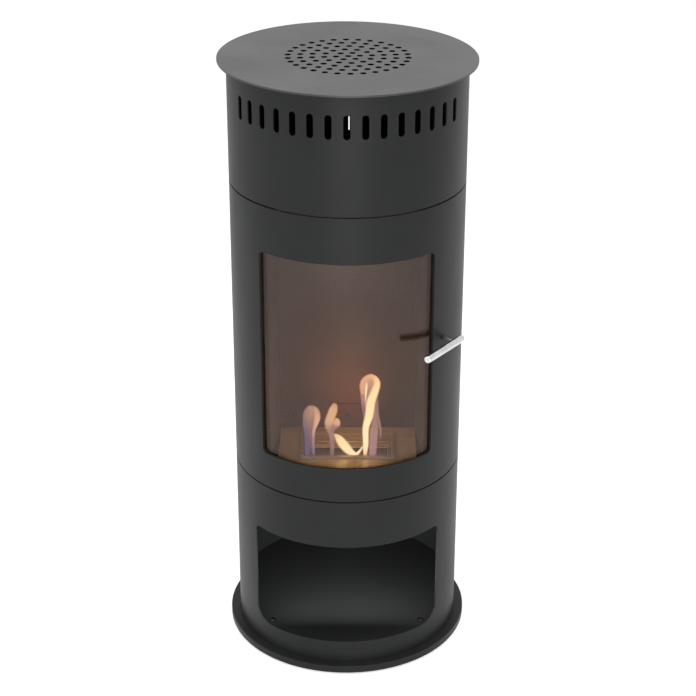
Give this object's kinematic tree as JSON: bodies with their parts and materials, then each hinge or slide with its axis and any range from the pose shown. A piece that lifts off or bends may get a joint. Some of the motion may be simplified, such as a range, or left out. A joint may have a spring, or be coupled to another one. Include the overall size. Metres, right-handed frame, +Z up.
{
  "type": "bioethanol fireplace",
  "caption": "Free-standing round bioethanol fireplace in painted sheet steel, with a curved glazed door, bar handle, burner with a flame slide, perforated lid and open wood shelf.",
  "frame": {"origin": "on the floor under the middle of the round column", "axes": "+Z up, -Y towards the front with the window, +X towards the handle side, which is on the right seen from the front"},
  "size_m": [0.405, 0.405, 1],
  "materials": {
    "paint": "satin anthracite heat-resistant paint",
    "lid_paint": "satin anthracite heat-resistant paint, lit from above",
    "lining": "heat-tinted firebox paint",
    "stainless": "brushed stainless steel",
    "polished": "polished",
    "zinc": "zinc-plated",
    "brass": "turned",
    "glazing": "ceramic glass, lightly smoked",
    "rope": "woven glass-fibre rope",
    "rubber": "matt",
    "wool": "ceramic-fibre wool",
    "ferrite": "sintered magnet"
  },
  "bodies": {
    "column": {"base_plate": "paint", "floor_pad_1": "rubber", "floor_pad_2": "rubber", "floor_pad_3": "rubber", "floor_pad_4": "rubber", "lower_shell": "paint", "shelf_floor": "paint", "shelf_screw_left": "zinc", "shelf_screw_right": "zinc", "shelf_ceiling": "paint", "divider_plate": "paint", "firebox_back_panel": "lining", "firebox_left_panel": "lining", "firebox_right_panel": "lining", "back_panel_screw": "zinc", "burner_tray": "lining", "burner_box": "stainless", "burner_wool": "wool", "burner_grille": "stainless", "burner_cover": "stainless", "rear_shell": "paint", "catch_magnet": "ferrite", "catch_bracket": "zinc", "hinge_pin_bottom": "brass", "hinge_pin_top": "brass", "upper_shell": "paint", "smoke_plate": "paint", "lid_ring": "paint", "lid": "lid_paint"},
    "door": {"door_shell": "paint", "glass_seal": "rope", "door_glass": "glazing", "glass_clamp_left": "zinc", "glass_clamp_right": "zinc", "glass_clamp_bottom": "zinc", "glass_clamp_top": "zinc", "hinge_plate_bottom": "zinc", "hinge_plate_top": "zinc", "strike_plate": "zinc", "handle_bar": "polished", "handle_post": "polished", "handle_screw": "zinc"},
    "slide": {"flame_slide": "polished"}
  },
  "joints": [
    {"name": "door_hinge", "type": "hinge", "parent": "column", "child": "door", "pos_m": [-0.17482, -0.02769, 0.5635], "axis": [0, 0, -1], "range_deg": [0, 100]},
    {"name": "flame_slide_travel", "type": "slide", "parent": "column", "child": "slide", "axis": [0, -1, 0], "range_m": [0, 0.04]}
  ]
}
